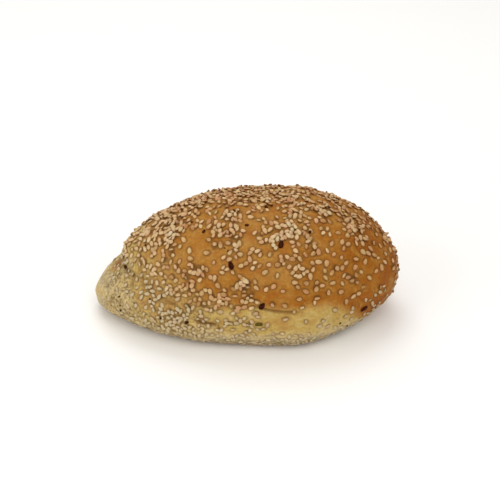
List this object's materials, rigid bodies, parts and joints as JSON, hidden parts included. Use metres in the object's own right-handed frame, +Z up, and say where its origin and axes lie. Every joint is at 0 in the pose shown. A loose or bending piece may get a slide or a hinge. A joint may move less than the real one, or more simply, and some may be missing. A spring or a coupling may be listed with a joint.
{
  "type": "sesame bread roll",
  "caption": "Whole uncut oval bread roll: a browned dome over a paler lower lobe with a drooping nose at one end, crusted with sesame and a few linseeds.",
  "frame": {"origin": "on the flat base that the roll rests on, under the middle of its bounding box", "axes": "+Z up, +X along the roll from its drooping nose to its blunt end, -Y towards the front, where the pale band shows most"},
  "size_m": [0.1598, 0.0915, 0.0663],
  "materials": {
    "baked_crust": "dry baked bread crust, browned on top and pale along the foot and nose, rough with sesame seeds"
  },
  "bodies": {
    "root": {"sesame_roll": "baked_crust"}
  },
  "joints": []
}
